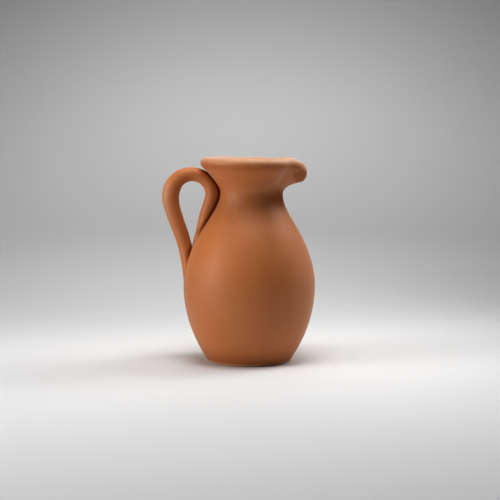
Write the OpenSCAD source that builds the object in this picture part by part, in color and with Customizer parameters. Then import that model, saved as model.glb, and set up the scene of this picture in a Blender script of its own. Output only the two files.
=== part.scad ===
// Terracotta pitcher: a round belly on a small foot, a waisted neck, a flared
// mouth with a rolled rim and a short pouring spout, and a coil handle whose
// loop is pressed on to the neck at the top and smeared on to the belly below.
// The vessel is built up from luted sections of clay, and each section of clay
// is one solid. Millimetres, +Z up. The foot stands on z = 0, the spout points
// along +X and the handle along -X.

/* [Body] */
// Height from the foot to the crest of the rim, measured up the vessel's axis
height = 221.3; // [207:0.1:234]
// Radius where the foot stands
foot_r = 44.6; // [42:0.1:48]
// Greatest radius of the belly
belly_r = 71.7; // [69:0.1:75]
// Radius half-way up the shoulder
shoulder_r = 54.6; // [52:0.1:56]
// Smallest radius of the neck
neck_r = 34.1; // [32:0.1:36]
// Thickness of the wall
wall = 6.4; // [5:0.1:7]
// Thickness of the floor
floor_t = 8; // [6:0.5:10]
// Angle by which the sections above the belly's seam lean towards the spout
lean = 1.45; // [0:0.05:2]

/* [Mouth] */
// Radius from the vessel's axis to the middle of the rim's roll
rim_r = 50.2; // [48:0.1:52]
// Radius of the rim's roll
rim_roll_r = 6; // [5.2:0.1:6.4]
// Angle of the flared wall above the horizontal
flare_angle = 45; // [40:1:50]
// Half thickness and half height of the folded roll at the tip of the spout
spout_roll_r = 7.5; // [6.5:0.1:8]
spout_roll_h = 10.2; // [9:0.1:11]
// How far the tip of the spout reaches out past the rim and drops below it
spout_reach = 2; // [0:0.1:4]
spout_drop = 8.4; // [5:0.1:9]
// Angle of the spout's underside above the horizontal
spout_angle = 12; // [8:1:24]
// Half of the angle round the rim that the spout takes up
spout_half = 38; // [32:1:44]
// How far the rim is pinched in on each side of the spout
pinch = 3.2; // [0:0.1:4]
// How far the pinched rim rises on each side of the spout
pinch_rise = 1.4; // [0:0.1:2]

/* [Handle] */
// Scale of the handle coil's thickness
coil_scale = 1; // [0.9:0.01:1.05]
// How much wider than thick the coil is
coil_width = 1.06; // [0.95:0.01:1.15]

/* [Hidden] */

CLAY = "#b5703f";
RIM_CLAY = "#c08055";
SLIP = "#a9663a";

// Heights of the seams and of the widest and narrowest places, as shares of the height
belly_z = 0.38 * height;
upper_seam_z = 0.678 * height;
shoulder_z = 0.6335 * height;
neck_z = 0.829 * height;
rim_z = height - rim_roll_r;

// Slopes of the outline, in radius per height, at the foot and on the shoulder
foot_slope = 0.68;
shoulder_slope = -0.55;
// The foot's worn edge, the height of the seam above it and the cove inside the floor
foot_bevel = 1.5;
foot_seam_z = 3;
cove_r = 12;
// Rise of a bevelled seam from the outside of the wall to the inside
seam_bevel = 4;
// Spacing of the points up a wall, and of the sections round the mouth
row_step = 4.2;
turn_n = 72;
$fn = 144;

// ---- Outline of the vessel ----------------------------------------------------

// Cubic curve between two heights with a radius and a slope at each end
function hermite(z, z0, r0, s0, z1, r1, s1) =
    let (t = (z - z0) / (z1 - z0), span = z1 - z0)
    (2 * t^3 - 3 * t^2 + 1) * r0 + (t^3 - 2 * t^2 + t) * span * s0
    + (3 * t^2 - 2 * t^3) * r1 + (t^3 - t^2) * span * s1;

// Outside radius of the vessel from the foot to the neck
function outer_r(z) =
    z < belly_z ? hermite(z, 0, foot_r, foot_slope, belly_z, belly_r, 0)
    : z < shoulder_z ? hermite(z, belly_z, belly_r, 0, shoulder_z, shoulder_r, shoulder_slope)
    : hermite(z, shoulder_z, shoulder_r, shoulder_slope, neck_z, neck_r, 0);

// Inside radius: the wall's thickness is measured square to the wall, and a cove
// rounds the wall into the floor
function wall_slope(z) = outer_r(z + 0.5) - outer_r(z - 0.5);
function cove(z) =
    z < floor_t + cove_r ? cove_r - sqrt(cove_r^2 - (floor_t + cove_r - z)^2) : 0;
function inner_r(z) = outer_r(z) - wall * sqrt(1 + wall_slope(z)^2) - cove(z);

// Heights evenly spaced from one seam to the next
function rows(z0, z1) =
    let (n = ceil(abs(z1 - z0) / row_step))
    [for (i = [0:n]) z0 + (z1 - z0) * i / n];

// A section of the wall, turned round the axis. Each end gives the height of its
// seam at the outside of the wall and at the inside.
module wall_section(bottom, top) {
    outside = [for (z = rows(bottom[0], top[0])) [outer_r(z), z]];
    inside = [for (z = rows(top[1], bottom[1])) [inner_r(z), z]];
    rotate_extrude() polygon(concat(outside, inside));
}

// The sections above the belly's seam lean together towards the spout
module leaning() {
    translate([0, 0, belly_z]) rotate([0, lean, 0]) translate([0, 0, -belly_z]) children();
}

// ---- Mouth: flared collar, rolled rim and spout -------------------------------

function bezier(a, b, c, d, t) =
    a * (1 - t)^3 + 3 * b * t * (1 - t)^2 + 3 * c * t^2 * (1 - t) + d * t^3;

// 1 at the spout's tip and 0 outside the spout; turn is 0 at the spout
function spout_share(turn) =
    abs(turn) < spout_half ? 0.5 + 0.5 * cos(180 * turn / spout_half) : 0;
// 1 where the rim is pinched beside the spout, fading to 0 on both sides
pinch_spread = 10;
function pinch_share(turn) = exp(-((abs(turn) - spout_half) / pinch_spread)^2);

// Half thickness and half height of the roll's oval section, and its middle
function roll_half(turn) =
    [rim_roll_r + (spout_roll_r - rim_roll_r) * spout_share(turn),
     rim_roll_r + (spout_roll_h - rim_roll_r) * spout_share(turn)];
function roll_centre(turn) =
    [rim_r + spout_reach * spout_share(turn) - pinch * pinch_share(turn),
     rim_z - spout_drop * spout_share(turn)^1.5 + pinch_rise * pinch_share(turn)];
function underside_angle(turn) = flare_angle + (spout_angle - flare_angle) * spout_share(turn);

// The collar cups the roll from where its outside runs into the roll to where its
// inside does, and both sides run into the roll without a crease
cup_arc = 145;
cup_n = 8;
function cup_start(turn) =
    let (half = roll_half(turn))
    atan(half.x / half.y * tan(underside_angle(turn))) - 90;
function cup_end(turn) = cup_start(turn) - cup_arc;
function on_oval(half, angle) = [half.x * cos(angle), half.y * sin(angle)];
function on_roll(turn, angle) = roll_centre(turn) + on_oval(roll_half(turn), angle);
// Direction in which the roll's outline runs at an angle round its section
function along_roll(turn, angle) =
    let (half = roll_half(turn), along = [-half.x * sin(angle), half.y * cos(angle)])
    along / norm(along);
function cup_points(turn) =
    [for (i = [0:cup_n]) on_roll(turn, cup_start(turn) - cup_arc * i / cup_n)];

// Lengths of the flare's curve handles at the neck and at the roll, for the
// outside and the inside, each as [away from the spout, at the spout]
outside_neck_pull = [4, 5.5];
outside_roll_pull = [24, 14];
inside_neck_pull = [5, 8];
inside_roll_pull = [7, 9];
flare_n = 8;
function blend(pair, share) = pair[0] + (pair[1] - pair[0]) * share;
function flare_point(turn, start_r, end, along, neck_pull, roll_pull, t) =
    let (share = spout_share(turn))
    bezier([start_r, neck_z], [start_r, neck_z + blend(neck_pull, share)],
           end - blend(roll_pull, share) * along, end, t);
function outside_flare(turn, t) =
    let (start = cup_start(turn))
    flare_point(turn, neck_r, on_roll(turn, start), along_roll(turn, start),
                outside_neck_pull, outside_roll_pull, t);
function inside_flare(turn, t) =
    let (end = cup_end(turn))
    flare_point(turn, neck_r - wall, on_roll(turn, end), -along_roll(turn, end),
                inside_neck_pull, inside_roll_pull, t);

function collar_outline(turn) =
    concat([for (i = [0:flare_n - 1]) outside_flare(turn, i / flare_n)],
           cup_points(turn),
           [for (i = [flare_n - 1:-1:0]) inside_flare(turn, i / flare_n)]);

roll_n = 11;
function roll_outline(turn) =
    concat(cup_points(turn),
           [for (i = [1:roll_n - 1]) on_roll(turn, cup_end(turn) - (360 - cup_arc) * i / roll_n)]);

// Joins a closed ring of closed outlines, or an open run of them with flat ends.
// Every outline has the same number of points.
module skin(outlines, closed) {
    count = len(outlines);
    size = len(outlines[0]);
    runs = closed ? count : count - 1;
    function index(i, j) = (i % count) * size + j % size;
    sides = [for (i = [0:runs - 1], j = [0:size - 1], half = [0, 1])
        half == 0 ? [index(i, j), index(i, j + 1), index(i + 1, j)]
                  : [index(i, j + 1), index(i + 1, j + 1), index(i + 1, j)]];
    caps = closed ? [] : [[for (j = [size - 1:-1:0]) j],
                          [for (j = [0:size - 1]) index(count - 1, j)]];
    polyhedron([for (outline = outlines) each outline], concat(sides, caps), convexity = 6);
}

// Half-plane points [radius, height] placed at a turn round the vessel's axis
function placed(outline, turn) =
    [for (p = outline) [p[0] * cos(turn), p[0] * sin(turn), p[1]]];
turns = [for (i = [0:turn_n - 1]) -180 + 360 * i / turn_n];

// ---- Handle: one coil of clay ---------------------------------------------------

// The coil's middle line, from the tail smeared on the shoulder, up along the
// neck, over the loop and down to the tail smeared on the belly. Each knot is
// [distance from the axis, height, half thickness, half width], and a half
// width of 0 follows the half thickness.
knots = [
    [62.6, 120.5, 1.5, 6.0],
    [58.8, 129.0, 3.5, 7.6],
    [54.6, 139.0, 5.4, 8.4],
    [50.9, 150.5, 6.7, 8.6],
    [47.4, 162.0, 7.5, 0],
    [43.6, 173.0, 7.9, 0],
    [42.2, 183.0, 8.0, 0],
    [46.2, 193.0, 7.8, 0],
    [54.8, 200.0, 7.6, 0],
    [65.5, 202.4, 7.6, 0],
    [76.6, 199.0, 8.3, 0],
    [84.8, 190.3, 9.1, 0],
    [87.8, 178.5, 9.3, 0],
    [85.9, 165.5, 8.8, 0],
    [80.9, 151.5, 8.1, 0],
    [75.2, 137.0, 7.8, 0],
    [70.8, 123.0, 7.7, 8.6],
    [68.7, 111.5, 7.0, 10.4],
    [68.4, 102.0, 5.5, 13.6],
    [69.4, 94.0, 3.3, 15.0],
    [70.8, 87.5, 1.4, 12.0]
];
knot_steps = 3;
coil_n = 28;
// Knots where the plain coil begins and ends
coil_from = 3;
coil_to = 17;
// Play left between the coil's clay and the wall that it is pressed on, and the
// least thickness that the smeared clay has
luting_gap = 0.02;
smear_t = 0.3;

// Smooth curve through four values, between the middle two
function through(a, b, c, d, t) =
    b + 0.5 * t * (c - a + t * (2 * a - 5 * b + 4 * c - d + t * (3 * (b - c) + d - a)));
function knot(i) = knots[max(0, min(len(knots) - 1, i))];
function knot_full(i) =
    let (k = knot(i), thick = k[2] * coil_scale)
    [k[0], k[1], thick, k[3] == 0 ? thick * coil_width : k[3]];
function coil_at(u) =
    let (i = min(len(knots) - 2, floor(u)))
    through(knot_full(i - 1), knot_full(i), knot_full(i + 1), knot_full(i + 2), u - i);

// Outside radius of the vessel on the handle's side, up to the rim's roll
flare_table = [for (i = [0:16]) let (p = outside_flare(180, i / 16)) [p[1], p[0]]];
function vessel_r(z) = z < neck_z ? outer_r(z) : lookup(z, flare_table);

// Clay pressed against the vessel takes the shape of its wall, and its outer side
// stays at least a smear away from it
function pressed(p, outer) =
    let (reach = norm([p[0], p[1]]),
         least = vessel_r(p[2]) + luting_gap + (outer ? smear_t : 0))
    reach < least ? [p[0] * least / reach, p[1] * least / reach, p[2]] : p;

// The sections of both tails are level, and those of the loop are square to the coil
level_run = 2;
function level_share(u) =
    max(0, min(1, max(coil_from + level_run - u, u - coil_to + level_run) / level_run));
function unit(v) = v / norm(v);
function coil_side(u) =
    let (ahead = coil_at(u + 0.05), behind = coil_at(max(0, u - 0.05)),
         square = unit([ahead[1] - behind[1], behind[0] - ahead[0]]),
         level = [square[0] < 0 ? -1 : 1, 0], share = level_share(u))
    unit(square * (1 - share) + level * share);

function coil_outline(u) =
    let (k = coil_at(u), side = coil_side(u))
    [for (j = [0:coil_n - 1])
        let (turn = 360 * j / coil_n, out = k[2] * cos(turn))
        pressed([-k[0] - side[0] * out, k[3] * sin(turn), k[1] + side[1] * out],
                side[0] * out > 0.01)];

module coil(from, to) {
    n = (to - from) * knot_steps;
    skin([for (i = [0:n]) coil_outline(from + i / knot_steps)], closed = false);
}

// ---- Sub-parts --------------------------------------------------------------------

// Flat disc that the wall is luted on, with a wide bevelled seam and a worn edge
module base() {
    color(CLAY) rotate_extrude() polygon([
        [0, 0],
        [foot_r - foot_bevel, 0],
        [foot_r - 0.4 * foot_bevel, 0.25 * foot_bevel],
        [outer_r(foot_bevel), foot_bevel],
        [outer_r(foot_seam_z), foot_seam_z],
        [inner_r(floor_t), floor_t],
        [0, floor_t]
    ]);
}

// Wall from the foot to the belly's widest place, cut off along the leaning seam
module lower_body() {
    color(CLAY) difference() {
        wall_section([foot_seam_z, floor_t], [belly_z + seam_bevel, belly_z + seam_bevel]);
        leaning() translate([-2 * belly_r, -2 * belly_r, belly_z])
            cube([4 * belly_r, 4 * belly_r, height]);
    }
}

// Wall from the belly's seam over the shoulder
module upper_body() {
    color(CLAY) leaning()
        wall_section([belly_z, belly_z], [upper_seam_z, upper_seam_z + seam_bevel]);
}

// Waisted wall below the mouth
module neck() {
    color(CLAY) leaning()
        wall_section([upper_seam_z, upper_seam_z + seam_bevel], [neck_z, neck_z]);
}

// Flared wall of the mouth, drawn out and folded down into the spout
module spout_collar() {
    color(CLAY) leaning() skin([for (t = turns) placed(collar_outline(t), t)], closed = true);
}

// Roll of clay laid on the collar's edge, thicker over the spout's tip
module rim_roll() {
    color(RIM_CLAY) leaning() skin([for (t = turns) placed(roll_outline(t), t)], closed = true);
}

// Coil handle from the shoulder, along the neck and over the loop to the belly
module handle() {
    color(CLAY) leaning() coil(coil_from, coil_to);
}

// Tail of clay that lutes the coil's upper end to the shoulder
module upper_handle_joint() {
    color(SLIP) leaning() coil(0, coil_from);
}

// Broad smeared tail that lutes the coil's lower end to the belly
module lower_handle_joint() {
    color(SLIP) leaning() coil(coil_to, len(knots) - 1);
}

base();
lower_body();
upper_body();
neck();
spout_collar();
rim_roll();
handle();
upper_handle_joint();
lower_handle_joint();
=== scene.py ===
"""Terracotta pitcher: finished clay meshes round the CAD frame, studio floor, lights and camera.

The outline, the mouth and the handle follow the CAD model's own curves, in millimetres,
with much finer sections and the small unevenness of hand-made clay.
"""
import math

import bpy
import numpy as np
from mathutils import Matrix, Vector


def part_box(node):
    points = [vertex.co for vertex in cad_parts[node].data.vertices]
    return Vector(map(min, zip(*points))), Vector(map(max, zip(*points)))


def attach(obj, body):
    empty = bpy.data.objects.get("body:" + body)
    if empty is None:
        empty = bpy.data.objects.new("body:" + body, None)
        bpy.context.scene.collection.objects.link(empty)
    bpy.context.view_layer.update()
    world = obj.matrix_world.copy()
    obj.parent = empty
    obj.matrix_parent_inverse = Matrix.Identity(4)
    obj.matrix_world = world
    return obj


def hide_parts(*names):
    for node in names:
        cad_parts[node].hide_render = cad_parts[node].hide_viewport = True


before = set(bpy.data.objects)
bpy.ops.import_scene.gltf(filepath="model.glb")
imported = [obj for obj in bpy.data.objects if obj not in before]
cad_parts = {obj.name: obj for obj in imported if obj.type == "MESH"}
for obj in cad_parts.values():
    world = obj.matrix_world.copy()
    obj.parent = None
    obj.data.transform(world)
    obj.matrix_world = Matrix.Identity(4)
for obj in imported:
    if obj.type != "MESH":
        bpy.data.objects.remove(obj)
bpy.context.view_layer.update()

MM = 0.001

# ---- Sizes, in millimetres ---------------------------------------------------------------

belly_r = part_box("lower_body")[1].y / MM
floor_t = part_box("base")[1].z / MM
height = 221.3
foot_r = 44.6
shoulder_r = 54.6
neck_r = 34.1
wall = 6.4
lean = math.radians(1.45)

belly_z = 0.38 * height
shoulder_z = 0.6335 * height
upper_seam_z = 0.678 * height
neck_z = 0.829 * height

foot_slope = 0.68
shoulder_slope = -0.55
foot_bevel = 1.5
foot_seam_z = 3.0
seam_bevel = 4.0
cove_r = 12.0

rim_r = 50.2
rim_roll_r = 6.0
rim_z = height - rim_roll_r
flare_angle = math.radians(45)
spout_roll_r = 7.5
spout_roll_h = 10.2
spout_reach = 2.0
spout_drop = 8.4
spout_angle = math.radians(12)
spout_half = math.radians(38)
pinch = 3.2
pinch_rise = 1.4
pinch_spread = math.radians(12)
cup_arc = math.radians(145)
outside_neck_pull = (4.0, 5.5)
outside_roll_pull = (24.0, 14.0)
inside_neck_pull = (5.0, 8.0)
inside_roll_pull = (7.0, 9.0)

# The coil's middle line: distance from the axis, height, half thickness and half
# width, where a half width of 0 follows the half thickness
coil_knots = [
    (62.2, 120.5, 1.0, 6.0),
    (58.8, 129.0, 3.5, 7.6),
    (54.6, 139.0, 5.4, 8.4),
    (50.9, 150.5, 6.7, 8.6),
    (47.4, 162.0, 7.5, 0),
    (43.6, 173.0, 7.9, 0),
    (42.2, 183.0, 8.0, 0),
    (46.2, 193.0, 7.8, 0),
    (54.8, 200.0, 7.6, 0),
    (65.5, 202.4, 7.6, 0),
    (76.6, 199.0, 8.3, 0),
    (84.8, 190.3, 9.1, 0),
    (87.8, 178.5, 9.3, 0),
    (85.9, 165.5, 8.8, 0),
    (80.9, 151.5, 8.1, 0),
    (75.2, 137.0, 7.8, 0),
    (70.8, 123.0, 7.7, 8.6),
    (68.7, 111.5, 7.0, 10.4),
    (68.4, 102.0, 5.5, 13.6),
    (69.4, 94.0, 3.2, 13.4),
    (70.6, 87.5, 1.0, 6.5),
]
coil_width = 1.06
coil_from = 3
coil_to = 17
level_run = 2

# ---- Outline of the vessel ---------------------------------------------------------------


def hermite(z, z0, r0, s0, z1, r1, s1):
    """Cubic curve between two heights, with a radius and a slope at each end."""
    t = (z - z0) / (z1 - z0)
    span = z1 - z0
    return (
        (2 * t**3 - 3 * t**2 + 1) * r0
        + (t**3 - 2 * t**2 + t) * span * s0
        + (3 * t**2 - 2 * t**3) * r1
        + (t**3 - t**2) * span * s1
    )


def outer_r(z):
    """Outside radius of the vessel from the foot to the neck."""
    lower = hermite(z, 0, foot_r, foot_slope, belly_z, belly_r, 0)
    upper = hermite(z, belly_z, belly_r, 0, shoulder_z, shoulder_r, shoulder_slope)
    waist = hermite(z, shoulder_z, shoulder_r, shoulder_slope, neck_z, neck_r, 0)
    return np.where(z < belly_z, lower, np.where(z < shoulder_z, upper, waist))


def inner_r(z):
    """Inside radius, with a cove that rounds the wall into the floor."""
    slope = outer_r(z + 0.5) - outer_r(z - 0.5)
    below = np.clip(floor_t + cove_r - z, 0, cove_r)
    cove = cove_r - np.sqrt(cove_r**2 - below**2)
    return outer_r(z) - wall * np.sqrt(1 + slope**2) - cove


# ---- Mouth: collar, rim roll and spout ---------------------------------------------------


def spout_share(turn):
    """1 at the spout's tip and 0 outside the spout; turn is 0 at the spout."""
    inside = np.abs(turn) < spout_half
    return np.where(inside, 0.5 + 0.5 * np.cos(np.pi * turn / spout_half), 0.0)


def pinch_share(turn):
    return np.exp(-(((np.abs(turn) - spout_half) / pinch_spread) ** 2))


def roll_half(turn):
    """Half thickness and half height of the roll's oval section."""
    share = spout_share(turn)
    return (
        rim_roll_r + (spout_roll_r - rim_roll_r) * share,
        rim_roll_r + (spout_roll_h - rim_roll_r) * share,
    )


def underside_angle(turn):
    return flare_angle + (spout_angle - flare_angle) * spout_share(turn)


def on_roll(turn, angle):
    """A point on the rim's roll, as (radius, height)."""
    thick, high = roll_half(turn)
    r = (
        rim_r
        + spout_reach * spout_share(turn)
        - pinch * pinch_share(turn)
        + thick * np.cos(angle)
    )
    z = (
        rim_z
        - spout_drop * spout_share(turn) ** 1.5
        + pinch_rise * pinch_share(turn)
        + high * np.sin(angle)
    )
    return np.stack([r, z], -1)


def along_roll(turn, angle):
    """Direction of the roll's outline, as an angle, where angle is met."""
    thick, high = roll_half(turn)
    return np.arctan2(high * np.cos(angle), -thick * np.sin(angle))


def cup_start(turn):
    thick, high = roll_half(turn)
    return np.arctan(thick / high * np.tan(underside_angle(turn))) - np.pi / 2


def flare(turn, start_r, angle, slant, neck_pull, roll_pull, t):
    """A point on the flared wall between the neck and the roll, as (radius, height)."""
    share = spout_share(turn)
    up = neck_pull[0] + (neck_pull[1] - neck_pull[0]) * share
    back = roll_pull[0] + (roll_pull[1] - roll_pull[0]) * share
    a = np.stack([start_r + 0 * turn, neck_z + 0 * turn], -1)
    b = a + np.stack([0 * turn, up], -1)
    d = on_roll(turn, angle)
    c = d - back[..., None] * np.stack([np.cos(slant), np.sin(slant)], -1)
    t = t[..., None]
    return (
        a * (1 - t) ** 3
        + 3 * b * t * (1 - t) ** 2
        + 3 * c * t**2 * (1 - t)
        + d * t**3
    )


def outside_flare(turn, t):
    start = cup_start(turn)
    return flare(
        turn, neck_r, start, along_roll(turn, start), outside_neck_pull, outside_roll_pull, t
    )


def inside_flare(turn, t):
    end = cup_start(turn) - cup_arc
    slant = along_roll(turn, end) + np.pi
    return flare(turn, neck_r - wall, end, slant, inside_neck_pull, inside_roll_pull, t)


# ---- Hand-made clay: small unevenness, and the lean of the upper sections ----------------


def smooth(x):
    x = np.clip(x, 0, 1)
    return x * x * (3 - 2 * x)


def out_of_round(turn, z):
    """How far the whole wall swells out or in, in mm."""
    free = smooth(z / 30) * smooth((neck_z - z) / 40 + 0.35)
    oval = 0.22 * np.cos(2 * turn + 0.9) + 0.12 * np.cos(3 * turn - 0.012 * z)
    return free * oval


def throwing_lines(turn, z, depth, pitch):
    """Ridges left by the fingers as the wall was pulled up, which climb like a screw."""
    strength = 0.6 + 0.4 * np.sin(0.11 * z + 1.3) * np.cos(0.037 * z)
    return depth * strength * np.sin(2 * np.pi * z / pitch + turn)


LEAN_FROM = belly_z - 24
LEAN_TO = belly_z + 24
_axis_z = np.linspace(0, height + 20, 960)
_axis_lean = lean * smooth((_axis_z - LEAN_FROM) / (LEAN_TO - LEAN_FROM))
_step = _axis_z[1] - _axis_z[0]
_axis_x = np.concatenate([[0], np.cumsum(np.sin(_axis_lean) * _step)[:-1]])
_axis_up = np.concatenate([[0], np.cumsum(np.cos(_axis_lean) * _step)[:-1]])


def leaning(points):
    """The vessel's axis bends smoothly over at the belly's seam, towards the spout."""
    x, y, z = points[..., 0], points[..., 1], points[..., 2]
    angle = np.interp(z, _axis_z, _axis_lean)
    return np.stack(
        [
            np.interp(z, _axis_z, _axis_x) + x * np.cos(angle),
            y,
            np.interp(z, _axis_z, _axis_up) - x * np.sin(angle),
        ],
        -1,
    )


# ---- Meshes ------------------------------------------------------------------------------

TURNS = 288
turn_angles = np.linspace(-np.pi, np.pi, TURNS, endpoint=False)
CREASE = math.radians(38)


def make_piece(name, vertices, faces, nodes, marks=None):
    """A closed, smooth-shaded mesh that rides on the body and stands for its CAD node.

    Marks gives a share from 0 to 1 at each vertex, such as how much paler the clay is from wear
    and a painted highlight, or how much darker from painted shade.
    """
    mesh = bpy.data.meshes.new(name)
    mesh.from_pydata((vertices * MM).tolist(), [], faces)
    mesh.polygons.foreach_set("use_smooth", [True] * len(mesh.polygons))
    mesh.set_sharp_from_angle(angle=CREASE)
    mesh.validate()
    for mark, shares in (marks or {}).items():
        layer = mesh.attributes.new(mark, "FLOAT", "POINT")
        layer.data.foreach_set("value", np.ravel(shares).astype(np.float32))
    piece = bpy.data.objects.new(name, mesh)
    bpy.context.scene.collection.objects.link(piece)
    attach(piece, "root")
    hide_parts(*nodes)
    return piece


def skin_faces(rings, size, closed):
    """Quads between neighbouring outlines; a closed run also joins the last outline to the
    first.
    """
    faces = []
    runs = rings if closed else rings - 1
    for i in range(runs):
        a, b = i * size, (i + 1) % rings * size
        for j in range(size):
            k = (j + 1) % size
            faces.append((a + j, b + j, b + k, a + k))
    return faces


def turned(outline):
    """Places outline(turn) -> (points, 2) of (radius, height) round the axis."""
    points = outline(turn_angles[:, None])
    r, z = points[..., 0], points[..., 1]
    turn = turn_angles[:, None]
    return np.stack([r * np.cos(turn), r * np.sin(turn), z], -1)


def ring_piece(name, outline, nodes):
    upright = turned(outline)
    points = leaning(upright)
    faces = skin_faces(points.shape[0], points.shape[1], closed=True)
    # the darker share is painted shade beside the coil, in the crease under the roll, under the
    # spout, on the beak and near the foot
    shades = (beside_coil, under_roll, under_spout, beak, near_foot)
    darker = np.max([shade(upright) for shade in shades], axis=0)
    # the rim top is paler from wear and from a painted highlight
    marks = {"wear_and_highlight": rim_wear_and_highlight(upright), "painted_shade": darker}
    return make_piece(name, points.reshape(-1, 3), faces, nodes, marks)


def rim_wear_and_highlight(points):
    """The top of the roll, paler than the rest from wear and from a painted highlight where
    light falls on it.
    """
    return smooth((points[..., 2] - rim_z + 1.5) / 7)


def turn_and_radius(points):
    return np.arctan2(points[..., 1], points[..., 0]), np.hypot(points[..., 0], points[..., 1])


# The shares below darken the clay itself, to stand in for shadows that the studio's
# lights don't throw. Setting the SHADE strengths to 0 removes them.


def under_roll(points):
    """The crease below the roll."""
    turn, r = turn_and_radius(points)
    crease = on_roll(turn, cup_start(turn))
    away = np.hypot(r - crease[..., 0], points[..., 2] - crease[..., 1])
    return CREASE_SHADE * smooth(1.15 - away / CREASE_REACH)


def under_spout(points):
    """The neck below the spout."""
    turn, _ = turn_and_radius(points)
    across = smooth((math.radians(75) - np.abs(turn)) / math.radians(45))
    up = np.exp(-(((points[..., 2] - neck_z + NECK_SHADE_DROP) / NECK_SHADE_REACH) ** 2))
    return NECK_SHADE * across * up


def beak(points):
    """The sides of the spout's lip."""
    turn, r = turn_and_radius(points)
    across = smooth((math.radians(31) - np.abs(turn)) / math.radians(9))
    outside = smooth((r - rim_r + 4) / 3)
    low = smooth((rim_z - spout_drop * 0.4 - points[..., 2]) / 4)
    low = low * smooth((points[..., 2] - rim_z + BEAK_DEPTH) / 6)
    return BEAK_SHADE * across * outside * low


def near_foot(points):
    """The lowest part of the wall."""
    return FOOT_SHADE * smooth(1 - points[..., 2] / FOOT_SHADE_TOP)


def beside_coil(points):
    """Painted shade in the cranny where the handle's coil is pressed against the wall."""
    flat = points.reshape(-1, 3)
    middle = coil_at(np.linspace(coil_from - 1.5, coil_to, 160))
    nearest = np.full(len(flat), 1e9)
    for away, up, thick, wide in middle:
        gap_xz = np.hypot(flat[:, 0] + away, flat[:, 2] - up)
        gap = np.hypot(gap_xz, flat[:, 1]) - np.where(thick < wide, wide, thick)
        nearest = np.minimum(nearest, gap)
    return smooth(1 - nearest / SHELTER).reshape(points.shape[:-1])


ROW = 1.4


def rows(z0, z1):
    """Heights of a wall's rows, closer at both ends so that the shading runs on."""
    even = np.linspace(z0, z1, max(2, round(abs(z1 - z0) / ROW)))
    step = np.sign(z1 - z0) * 0.04
    return np.concatenate([[z0, z0 + step], even[1:-1], [z1 - step, z1]])


def outside_wall(turn, z):
    r = outer_r(z) + out_of_round(turn, z) + throwing_lines(turn, z, 0.02, 7.5)
    return np.stack([r, z + 0 * turn], -1)


def inside_wall(turn, z):
    r = inner_r(z) + out_of_round(turn, z) + throwing_lines(turn, z, 0.22, 8.5)
    return np.stack([r, z + 0 * turn], -1)


def wall_outline(bottom, top):
    """Outline of a wall section; each end gives its seam's height outside and inside."""

    def outline(turn):
        outside = outside_wall(turn, rows(bottom[0], top[0])[None])
        inside = inside_wall(turn, rows(top[1], bottom[1])[None])
        return np.concatenate([outside, inside], 1)

    return outline


FLARE_STEPS = 30
CUP_STEPS = 20
ROLL_STEPS = 34


def collar_outline(turn):
    t = np.linspace(0, 1, FLARE_STEPS)[None]
    outside = outside_flare(turn + 0 * t, t + 0 * turn)[:, :-1]
    inside = inside_flare(turn + 0 * t, t + 0 * turn)[:, :-1][:, ::-1]
    outside[..., 0] += mouth_edge(turn, outside[..., 1], 0.02, 7.5)
    inside[..., 0] += mouth_edge(turn, inside[..., 1], 0.22, 8.5)
    return np.concatenate([outside, cup(turn), inside], 1)


def mouth_edge(turn, z, depth, pitch):
    fade = smooth(1 - (z - neck_z) / 14)
    return fade * (out_of_round(turn, z * 0 + neck_z) + throwing_lines(turn, z, depth, pitch))


def cup(turn):
    share = np.linspace(0, 1, CUP_STEPS)[None]
    angle = cup_start(turn + 0 * share) - cup_arc * share
    return on_roll(turn + 0 * share, angle)


def roll_outline(turn):
    share = np.linspace(0, 1, ROLL_STEPS)[None][:, 1:-1]
    angle = cup_start(turn + 0 * share) - cup_arc - (2 * np.pi - cup_arc) * share
    # the roll runs the other way round from a wall, so it is turned over to face outwards
    return np.concatenate([cup(turn), on_roll(turn + 0 * share, angle)], 1)[:, ::-1]


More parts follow.
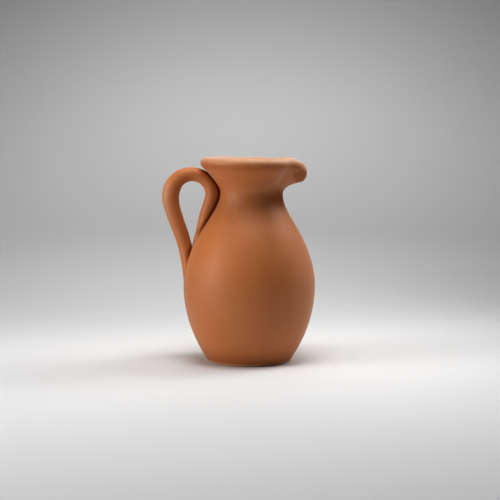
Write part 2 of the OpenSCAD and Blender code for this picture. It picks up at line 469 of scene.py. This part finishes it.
def base_piece():
    """The floor disc: a worn foot edge, a wire-cut underside and a turned floor."""
    under = np.linspace(0.6, foot_r - foot_bevel, 46)
    bevel = np.linspace(0, 1, 8)[1:]
    bevel_width = float(outer_r(foot_bevel)) - foot_r + foot_bevel
    edge_r = foot_r - foot_bevel + bevel_width * np.sin(bevel * np.pi / 2)
    edge_z = foot_bevel * (1 - np.cos(bevel * np.pi / 2))
    side_z = np.linspace(foot_bevel, foot_seam_z, 4)[1:]
    seam_r = float(inner_r(np.array(floor_t)))
    floor = np.linspace(seam_r, 0.6, 40)
    r = np.concatenate([under, edge_r, outer_r(side_z), floor])
    z = np.concatenate([0 * under, edge_z, side_z, floor_t + 0 * floor])
    turn = turn_angles[:, None]
    rr = r[None] + 0 * turn
    zz = z[None] + 0 * turn
    n_under = len(under)
    n_side = n_under + len(edge_r) + len(side_z)
    x, y = rr * np.cos(turn), rr * np.sin(turn)
    # the cutting wire leaves shallow arcs that run across the underside
    arc = np.hypot(x - 95, y + 30)
    cut = 0.16 * (1 + np.sin(arc * 1.15 + 0.4 * np.sin(0.16 * arc)))
    keep = smooth((foot_r - 4 - rr) / 5)
    zz[:, :n_under] += (cut * keep)[:, :n_under]
    # a low spiral on the floor inside
    swirl = 0.25 * np.sin(2 * np.pi * rr / 6.5 - turn) * smooth(rr / 6)
    swirl = swirl * smooth((seam_r - rr) / 4)
    zz[:, n_side:] += swirl[:, n_side:] - 0.25 * smooth(1 - rr[:, n_side:] / 9)
    side = slice(n_under + len(edge_r) - 1, n_side)
    rr[:, side] += out_of_round(turn, zz)[:, side]
    points = np.stack([rr * np.cos(turn), rr * np.sin(turn), zz], -1)
    rings, size = points.shape[:2]
    faces = []
    for i in range(rings):
        a, b = i * size, (i + 1) % rings * size
        for j in range(size - 1):
            faces.append((a + j, b + j, b + j + 1, a + j + 1))
    flat = points.reshape(-1, 3)
    bottom, top = len(flat), len(flat) + 1
    poles = np.array([[0, 0, points[:, 0, 2].mean()], [0, 0, points[:, -1, 2].mean()]])
    for i in range(rings):
        a, b = i * size, (i + 1) % rings * size
        faces.append((bottom, b, a))
        faces.append((top, a + size - 1, b + size - 1))
    wear_and_highlight = smooth((np.hypot(flat[:, 0], flat[:, 1]) - foot_r + 4) / 2.5) * (flat[:, 2] < 3)
    marks = {"wear_and_highlight": np.concatenate([wear_and_highlight, [0, 0]])}
    return make_piece("base_disc", np.concatenate([flat, poles]), faces, ["base"], marks)


# ---- Handle ------------------------------------------------------------------------------

COIL_STEPS = 12
COIL_SIDES = 72
SMEAR = 0.05
PLAY = 0.02
GRIP_R = 84

# How far the painted shade reaches from where the coil meets the wall, in mm
SHELTER = 2.2
COIL_SHELTER = 6.0

# Strength of each painted shade, from 0 to 1, and its extent in mm
CREASE_SHADE = 0.25
CREASE_REACH = 5.5
NECK_SHADE = 0.75
NECK_SHADE_DROP = 5
NECK_SHADE_REACH = 10
BEAK_SHADE = 0.45
BEAK_DEPTH = 26
FOOT_SHADE = 0.3
FOOT_SHADE_TOP = 24


def coil_at(u):
    """Smooth curve through the coil's knots: distance, height, half thickness, half width."""
    knots = np.array(coil_knots)
    follow = knots[:, 3] == 0
    knots[follow, 3] = knots[follow, 2] * coil_width
    last = len(knots) - 1
    i = np.minimum(last - 1, np.floor(u)).astype(int)
    t = (u - i)[..., None]
    a, b = knots[np.maximum(i - 1, 0)], knots[i]
    c, d = knots[i + 1], knots[np.minimum(i + 2, last)]
    bend = 2 * a - 5 * b + 4 * c - d + t * (3 * (b - c) + d - a)
    return b + 0.5 * t * (c - a + t * bend)


def coil_side(u):
    """Direction across the coil: level in both tails, square to the coil in the loop."""
    ahead, behind = coil_at(u + 0.05), coil_at(np.maximum(0, u - 0.05))
    square = np.stack([ahead[..., 1] - behind[..., 1], behind[..., 0] - ahead[..., 0]], -1)
    square /= np.linalg.norm(square, axis=-1, keepdims=True)
    level = np.stack([np.where(square[..., 0] < 0, -1.0, 1.0), 0 * u], -1)
    share = np.maximum(coil_from + level_run - u, u - coil_to + level_run) / level_run
    share = np.clip(share, 0, 1)[..., None]
    side = square * (1 - share) + level * share
    return side / np.linalg.norm(side, axis=-1, keepdims=True)


_flare_t = np.linspace(0, 1, 60)
_flare_side = outside_flare(np.full(60, np.pi), _flare_t)


def vessel_r(turn, z):
    """Outside radius of the vessel on the handle's side."""
    below = outer_r(z) + out_of_round(turn, z) + throwing_lines(turn, z, 0.02, 7.5)
    above = np.interp(z, _flare_side[:, 1], _flare_side[:, 0])
    above = above + mouth_edge(turn, z, 0.02, 7.5)
    return np.where(z < neck_z, below, above)


def coil_points(u):
    k, side = coil_at(u), coil_side(u)
    turn = np.linspace(0, 2 * np.pi, COIL_SIDES, endpoint=False)[None]
    # rolled by hand: the coil's thickness is never quite even
    uneven = 1 + 0.012 * np.sin(2.3 * u) + 0.008 * np.sin(5.1 * u + 1)
    out = (k[:, 2] * uneven)[:, None] * np.cos(turn)
    x = -k[:, 0][:, None] - side[:, 0][:, None] * out
    y = (k[:, 3] * uneven)[:, None] * np.sin(turn)
    z = k[:, 1][:, None] + side[:, 1][:, None] * out
    reach = np.hypot(x, y)
    outer = side[:, 0][:, None] * out > 0.01
    least = vessel_r(np.arctan2(y, x), z) + PLAY + np.where(outer, SMEAR, 0)
    push = np.maximum(1, least / np.maximum(reach, 1e-6))
    return np.stack([x * push, y * push, z], -1)


def coil_pressed(u):
    """0 where a tail is smeared smoothly onto the wall, 1 where the coil lies against it."""
    return smooth((u - 1) / 2) * smooth((coil_to + 1 - u) / 2)


def coil_piece(name, start, end, nodes):
    u = np.linspace(start, end, int((end - start) * COIL_STEPS) + 1)
    u = np.minimum(u, len(coil_knots) - 1 - 1e-6)
    upright = coil_points(u)
    points = leaning(upright)
    rings, size = points.shape[:2]
    faces = skin_faces(rings, size, closed=False)
    reach = np.hypot(upright[..., 0], upright[..., 1])
    gap = reach - vessel_r(np.arctan2(upright[..., 1], upright[..., 0]), upright[..., 2])
    # paler on the outside of the loop; painted shade on the coil where it lies close to the wall
    marks = {
        "wear_and_highlight": 0.5 * smooth((reach - GRIP_R) / 12),
        "painted_shade": smooth(1 - gap / COIL_SHELTER) * coil_pressed(u)[:, None],
    }
    half = size // 2
    last = (rings - 1) * size
    for j in range(half):
        a, b = j, j + 1
        c, d = (size - b) % size, (size - a) % size
        loop = [a, b, c, d] if a and b != half else ([a, b, c] if not a else [a, b, d])
        faces.append(tuple(loop))
        faces.append(tuple(last + v for v in reversed(loop)))
    return make_piece(name, points.reshape(-1, 3), faces, nodes, marks)


# ---- Pieces ------------------------------------------------------------------------------

seam_top = (upper_seam_z, upper_seam_z + seam_bevel)
pieces = [
    base_piece(),
    ring_piece(
        "lower_wall", wall_outline((foot_seam_z, floor_t), (belly_z, belly_z)), ["lower_body"]
    ),
    ring_piece("upper_wall", wall_outline((belly_z, belly_z), seam_top), ["upper_body"]),
    ring_piece("neck_wall", wall_outline(seam_top, (neck_z, neck_z)), ["neck"]),
    ring_piece("mouth_collar", collar_outline, ["spout_collar"]),
    ring_piece("rolled_rim", roll_outline, ["rim_roll"]),
    coil_piece("handle_coil", coil_from, coil_to, ["handle"]),
    coil_piece("upper_luted_tail", 0, coil_from, ["upper_handle_joint"]),
    coil_piece("lower_luted_tail", coil_to, len(coil_knots) - 1, ["lower_handle_joint"]),
]

# ---- Clay --------------------------------------------------------------------------------


def add_node(mat, kind, inputs=None, **settings):
    """Adds a shader node; inputs gives a link or a plain value for each of its sockets."""
    node = mat.node_tree.nodes.new("ShaderNode" + kind)
    for key, value in settings.items():
        setattr(node, key, value)
    for key, value in (inputs or {}).items():
        if isinstance(value, bpy.types.NodeSocket):
            mat.node_tree.links.new(value, node.inputs[key])
        else:
            node.inputs[key].default_value = value
    return node


def noise(mat, place, scale, detail=3.0, roughness=0.5, stretch=(1, 1, 1)):
    """Noise from 0 to 1 in the object's own space, stretched along its axes."""
    mapped = add_node(mat, "Mapping", {"Vector": place, "Scale": stretch})
    made = add_node(
        mat,
        "TexNoise",
        {
            "Vector": mapped.outputs["Vector"],
            "Scale": scale,
            "Detail": detail,
            "Roughness": roughness,
        },
    )
    return made.outputs["Fac"]


def ramp(mat, value, low, high, to_low=0.0, to_high=1.0):
    """Smoothly maps value from low..high to to_low..to_high."""
    made = add_node(
        mat,
        "MapRange",
        {
            "Value": value,
            "From Min": low,
            "From Max": high,
            "To Min": to_low,
            "To Max": to_high,
        },
        interpolation_type="SMOOTHSTEP",
    )
    return made.outputs["Result"]


def blend_colour(mat, share, below, above):
    """Mixes two colours, each a link or a plain colour, by a share from 0 to 1."""
    made = add_node(mat, "Mix", data_type="RGBA")
    for value, index in ((share, 0), (below, 6), (above, 7)):
        if isinstance(value, bpy.types.NodeSocket):
            mat.node_tree.links.new(value, made.inputs[index])
        else:
            made.inputs[index].default_value = value
    return made.outputs[2]


def maths(mat, operation, a, b):
    made = add_node(mat, "Math", {0: a, 1: b}, operation=operation)
    return made.outputs[0]


def bump(mat, height, strength, distance, under=None):
    inputs = {"Height": height, "Strength": strength, "Distance": distance}
    if under is not None:
        inputs["Normal"] = under
    return add_node(mat, "Bump", inputs).outputs["Normal"]


CLAY = (0.498, 0.176, 0.049, 1)
CLAY_WARM = (0.525, 0.174, 0.042, 1)
CLAY_PALE = (0.553, 0.220, 0.071, 1)
CLAY_DEEP = (0.411, 0.130, 0.033, 1)
CLAY_DUST = (0.643, 0.312, 0.122, 1)
# paler clay of wear, with a painted highlight on the rim top
CLAY_WEAR_HIGHLIGHT = (0.560, 0.325, 0.195, 1)
# colour of the painted shade
CLAY_SHADE = (0.150, 0.026, 0.004, 1)
GROG_DARK = (0.222, 0.080, 0.027, 1)


def terracotta():
    """Matt fired clay: cloudy colour, turned streaks, grog specks, wear on the edges with a
    painted highlight on the rim top, and painted shade in creases and recesses.
    """
    mat = bpy.data.materials.new("terracotta")
    mat.use_nodes = True
    shader = mat.node_tree.nodes["Principled BSDF"]
    place = add_node(mat, "TexCoord").outputs["Object"]

    cloud = noise(mat, place, 16, 3)
    patch = noise(mat, place, 55, 4, 0.6)
    streak = noise(mat, place, 9, 4, 0.6, stretch=(1, 1, 55))
    grain = noise(mat, place, 1500, 2, 0.6)
    specks = noise(mat, place, 700, 1, 0.5)

    colour = blend_colour(mat, ramp(mat, cloud, 0.32, 0.68), CLAY, CLAY_WARM)
    colour = blend_colour(mat, ramp(mat, patch, 0.50, 0.80, 0, 0.5), colour, CLAY_PALE)
    colour = blend_colour(mat, ramp(mat, streak, 0.55, 0.85, 0, 0.5), colour, CLAY_DEEP)
    colour = blend_colour(mat, ramp(mat, grain, 0.35, 0.75, 0, 0.22), colour, CLAY_DUST)
    colour = blend_colour(mat, ramp(mat, specks, 0.70, 0.76, 0, 0.35), colour, GROG_DARK)

    # the rim top, the foot edge and the loop's outside turn paler; on the rim top this is wear
    # and a painted highlight
    wear_and_highlight = add_node(mat, "Attribute", attribute_name="wear_and_highlight").outputs["Fac"]
    wear_and_highlight_share = maths(mat, "MULTIPLY", wear_and_highlight, ramp(mat, patch, 0.25, 0.6, 0.6, 1))
    colour = blend_colour(mat, wear_and_highlight_share, colour, CLAY_WEAR_HIGHLIGHT)
    # painted shade darkens the clay in creases and recesses, under the spout, on the beak and
    # near the foot
    painted_shade = add_node(mat, "Attribute", attribute_name="painted_shade").outputs["Fac"]
    colour = blend_colour(mat, maths(mat, "MULTIPLY", painted_shade, 0.75), colour, CLAY_SHADE)
    mat.node_tree.links.new(colour, shader.inputs["Base Color"])

    rough = ramp(mat, patch, 0.3, 0.7, 0.48, 0.60)
    mat.node_tree.links.new(rough, shader.inputs["Roughness"])
    shine = ramp(mat, painted_shade, 0, 0.6, 0.6, 0.1)
    mat.node_tree.links.new(shine, shader.inputs["Specular IOR Level"])
    haze = ramp(mat, painted_shade, 0, 0.6, 0.28, 0)
    mat.node_tree.links.new(haze, shader.inputs["Sheen Weight"])
    shader.inputs["Sheen Roughness"].default_value = 0.4
    shader.inputs["Sheen Tint"].default_value = (1.0, 0.86, 0.76, 1)

    normal = bump(mat, cloud, 0.12, 0.004)
    normal = bump(mat, streak, 0.15, 0.0006, normal)
    normal = bump(mat, grain, 0.25, 0.00012, normal)
    mat.node_tree.links.new(normal, shader.inputs["Normal"])
    return mat


clay = terracotta()
for piece in pieces:
    piece.data.materials.append(clay)

# ---- Studio ------------------------------------------------------------------------------


def backdrop():
    """A pale sweep: floor in front, rising in a wide curve behind."""
    flat_to, bend, top = 0.32, 2.5, 3.2
    profile = [(-4.0, 0.0), (-1.0, 0.0), (flat_to, 0.0)]
    for i in range(1, 33):
        a = math.pi / 2 * i / 32
        profile.append((flat_to + bend * math.sin(a), bend * (1 - math.cos(a))))
    profile.append((flat_to + bend, top))
    half = 4.0
    vertices = [(x, y, z) for y, z in profile for x in (-half, half)]
    faces = [(2 * i, 2 * i + 1, 2 * i + 3, 2 * i + 2) for i in range(len(profile) - 1)]
    mesh = bpy.data.meshes.new("sweep")
    mesh.from_pydata(vertices, [], faces)
    mesh.polygons.foreach_set("use_smooth", [True] * len(mesh.polygons))
    sweep = bpy.data.objects.new("sweep", mesh)
    bpy.context.scene.collection.objects.link(sweep)
    mat = bpy.data.materials.new("paper")
    mat.use_nodes = True
    shader = mat.node_tree.nodes["Principled BSDF"]
    shader.inputs["Base Color"].default_value = (0.78, 0.78, 0.78, 1)
    shader.inputs["Roughness"].default_value = 0.9
    shader.inputs["Specular IOR Level"].default_value = 0.1
    mesh.materials.append(mat)


def area_lamp(name, size, power, spread, place, target):
    """An area light at place, turned to target and unseen by the camera."""
    light = bpy.data.lights.new(name, "AREA")
    light.shape = "RECTANGLE"
    light.size, light.size_y = size
    light.energy = power
    light.spread = math.radians(spread)
    lamp = bpy.data.objects.new(name, light)
    bpy.context.scene.collection.objects.link(lamp)
    lamp.location = place
    toward = Vector(target) - lamp.location
    lamp.rotation_euler = toward.to_track_quat("-Z", "Y").to_euler()
    lamp.visible_camera = False


def softbox(name, turn, rise, far, size, power, spread=180):
    """Aimed at the pitcher; turn is its bearing from the camera's side, rise its elevation."""
    turn, rise = math.radians(turn), math.radians(rise)
    away = Vector(
        (math.sin(turn) * math.cos(rise), -math.cos(turn) * math.cos(rise), math.sin(rise))
    )
    area_lamp(name, size, power, spread, MIDDLE + far * away, MIDDLE)


def overhead(name, y, z, size, power, aim, spread=180):
    """A softbox on a boom over the pitcher."""
    area_lamp(name, size, power, spread, (0, y, z), aim)


MIDDLE = Vector((0, 0, 0.11))
backdrop()
softbox("key_low", -68, 8, 1.4, (0.6, 0.6), 7.4)
softbox("key_high", -68, 25, 1.4, (0.6, 0.6), 4.4)
softbox("rim", 120, 45, 0.8, (0.35, 0.35), 0.62, spread=96)
softbox("rim_side", 100, 45, 0.8, (0.35, 0.35), 0.3, spread=96)
softbox("right_back", 112, 10, 1.4, (0.6, 0.6), 0.12, spread=35)
softbox("back_top", 178, 32, 1.0, (0.7, 0.3), 1.0, spread=130)
overhead("front_top", -0.3, 1.1, (0.5, 0.5), 5.05, (0, -0.299, 0))
overhead("low_top", 0.0, 0.7, (0.5, 0.5), 1.55, (0, 0.001, 0))
overhead("wall_light", 0.55, 1.6, (0.6, 0.3), 3.85, (0, 1.6, 0.2), spread=90)
world = bpy.data.worlds.new("studio")
bpy.context.scene.world = world
world.use_nodes = True
surroundings = world.node_tree.nodes["Background"].inputs
surroundings["Color"].default_value = (0.8, 0.8, 0.8, 1)
surroundings["Strength"].default_value = 0.03

# ---- Camera ------------------------------------------------------------------------------

LOOKS_DOWN = math.radians(5.0)

camera_data = bpy.data.cameras.new("camera")
camera_data.sensor_width = 36.0
camera_data.lens = 100.5
camera = bpy.data.objects.new("camera", camera_data)
bpy.context.scene.collection.objects.link(camera)
camera.location = (0.001, -1.517, 0.254)
camera.rotation_euler = (math.radians(90) - LOOKS_DOWN, 0, 0)
bpy.context.scene.camera = camera
bpy.context.scene.view_settings.view_transform = "Standard"
bpy.context.scene.view_settings.gamma = 0.8
